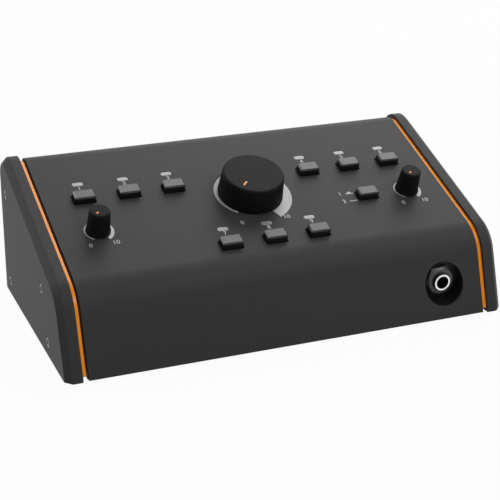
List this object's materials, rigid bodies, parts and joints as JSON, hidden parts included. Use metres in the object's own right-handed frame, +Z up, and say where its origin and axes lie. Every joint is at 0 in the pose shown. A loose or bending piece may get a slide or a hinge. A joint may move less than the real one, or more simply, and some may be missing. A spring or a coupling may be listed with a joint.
{
  "type": "studio monitor controller",
  "caption": "Desktop monitor controller: sloping metal console between side cheeks, with turning dials, press buttons, signal lights and a front headphone jack.",
  "frame": {"origin": "on the table under the middle of the console: the centre of the overall box, at the underside of the feet", "axes": "+X along the width, to the right of someone facing the front; +Y to the rear; +Z up"},
  "size_m": [0.2208, 0.118, 0.0744],
  "materials": {
    "console_paint": "fine textured powder coat, satin",
    "plate_paint": "fine textured powder coat",
    "accent_orange": "gloss orange enamel",
    "cheek_satin": "satin dark grey",
    "black_screw": "black oxide",
    "foot_rubber": "matte",
    "circuit_board": "solder mask",
    "spacer_brass": "turned",
    "plain_steel": "plain",
    "ribbon_grey": "flat cable",
    "socket_black": "moulded",
    "light_window": "milky, unlit",
    "light_chip": "clear",
    "control_body": "moulded",
    "bright_bush": "polished",
    "black_nut": "black satin",
    "contact_brass": "spring bronze",
    "knob_soft": "soft satin black",
    "shaft_alloy": "turned",
    "pointer_orange": "orange inlay",
    "button_grey": "satin dark grey"
  },
  "bodies": {
    "console": {"top_shell": "console_paint", "left_end_wall": "plate_paint", "right_end_wall": "plate_paint", "base_plate": "plate_paint", "rear_panel": "plate_paint", "left_side_plate": "accent_orange", "right_side_plate": "accent_orange", "left_cheek": "cheek_satin", "right_cheek": "cheek_satin", "left_cheek_screws": "black_screw", "right_cheek_screws": "black_screw", "base_screws": "black_screw", "rear_screws": "black_screw", "rubber_feet": "foot_rubber", "control_board": "circuit_board", "main_board": "circuit_board", "board_spacers": "spacer_brass", "board_screws": "plain_steel", "ribbon_cable": "ribbon_grey", "ribbon_headers": "socket_black", "light_windows": "light_window", "light_chips": "light_chip", "switch_bodies": "socket_black", "main_control": "control_body", "left_control": "control_body", "right_control": "control_body", "control_nuts": "plain_steel", "recess_cup": "socket_black", "phones_body": "socket_black", "phones_bush": "bright_bush", "phones_nut": "black_nut", "phones_contacts": "contact_brass", "rear_jack_1": "socket_black", "rear_jack_2": "socket_black", "rear_jack_3": "socket_black", "rear_jack_4": "socket_black", "rear_jack_5": "socket_black", "rear_jack_6": "socket_black", "rear_jack_nuts": "black_nut", "aux_socket": "socket_black", "power_inlet": "socket_black"},
    "main_dial": {"main_knob": "knob_soft", "main_shaft": "shaft_alloy", "main_pointer": "pointer_orange"},
    "left_dial": {"left_knob": "knob_soft", "left_shaft": "shaft_alloy", "left_pointer": "pointer_orange"},
    "right_dial": {"right_knob": "knob_soft", "right_shaft": "shaft_alloy", "right_pointer": "pointer_orange"},
    "upper_button_1_body": {"upper_button_1": "button_grey"},
    "upper_button_2_body": {"upper_button_2": "button_grey"},
    "upper_button_3_body": {"upper_button_3": "button_grey"},
    "upper_button_4_body": {"upper_button_4": "button_grey"},
    "upper_button_5_body": {"upper_button_5": "button_grey"},
    "upper_button_6_body": {"upper_button_6": "button_grey"},
    "lower_button_1_body": {"lower_button_1": "button_grey"},
    "lower_button_2_body": {"lower_button_2": "button_grey"},
    "lower_button_3_body": {"lower_button_3": "button_grey"},
    "selector_button_body": {"selector_button": "button_grey"}
  },
  "joints": [
    {"name": "main_dial_turn", "type": "hinge", "parent": "console", "child": "main_dial", "pos_m": [0, 0.00116, 0.05737], "axis": [0, 0.3338, -0.9426], "range_deg": [0, 270]},
    {"name": "left_dial_turn", "type": "hinge", "parent": "console", "child": "left_dial", "pos_m": [-0.0802, -0.01034, 0.0533], "axis": [0, 0.3338, -0.9426], "range_deg": [0, 270]},
    {"name": "right_dial_turn", "type": "hinge", "parent": "console", "child": "right_dial", "pos_m": [0.0802, -0.01034, 0.0533], "axis": [0, 0.3338, -0.9426], "range_deg": [0, 270]},
    {"name": "upper_button_1_press", "type": "slide", "parent": "console", "child": "upper_button_1_body", "axis": [0, 0.3338, -0.9426], "range_m": [0, 0.0015], "stiffness_N_per_m": 900, "springref_m": -0.0008},
    {"name": "upper_button_2_press", "type": "slide", "parent": "console", "child": "upper_button_2_body", "axis": [0, 0.3338, -0.9426], "range_m": [0, 0.0015], "stiffness_N_per_m": 900, "springref_m": -0.0008},
    {"name": "upper_button_3_press", "type": "slide", "parent": "console", "child": "upper_button_3_body", "axis": [0, 0.3338, -0.9426], "range_m": [0, 0.0015], "stiffness_N_per_m": 900, "springref_m": -0.0008},
    {"name": "upper_button_4_press", "type": "slide", "parent": "console", "child": "upper_button_4_body", "axis": [0, 0.3338, -0.9426], "range_m": [0, 0.0015], "stiffness_N_per_m": 900, "springref_m": -0.0008},
    {"name": "upper_button_5_press", "type": "slide", "parent": "console", "child": "upper_button_5_body", "axis": [0, 0.3338, -0.9426], "range_m": [0, 0.0015], "stiffness_N_per_m": 900, "springref_m": -0.0008},
    {"name": "upper_button_6_press", "type": "slide", "parent": "console", "child": "upper_button_6_body", "axis": [0, 0.3338, -0.9426], "range_m": [0, 0.0015], "stiffness_N_per_m": 900, "springref_m": -0.0008},
    {"name": "lower_button_1_press", "type": "slide", "parent": "console", "child": "lower_button_1_body", "axis": [0, 0.3338, -0.9426], "range_m": [0, 0.0015], "stiffness_N_per_m": 900, "springref_m": -0.0008},
    {"name": "lower_button_2_press", "type": "slide", "parent": "console", "child": "lower_button_2_body", "axis": [0, 0.3338, -0.9426], "range_m": [0, 0.0015], "stiffness_N_per_m": 900, "springref_m": -0.0008},
    {"name": "lower_button_3_press", "type": "slide", "parent": "console", "child": "lower_button_3_body", "axis": [0, 0.3338, -0.9426], "range_m": [0, 0.0015], "stiffness_N_per_m": 900, "springref_m": -0.0008},
    {"name": "selector_button_press", "type": "slide", "parent": "console", "child": "selector_button_body", "axis": [0, 0.3338, -0.9426], "range_m": [0, 0.0015], "stiffness_N_per_m": 900, "springref_m": -0.0008}
  ]
}
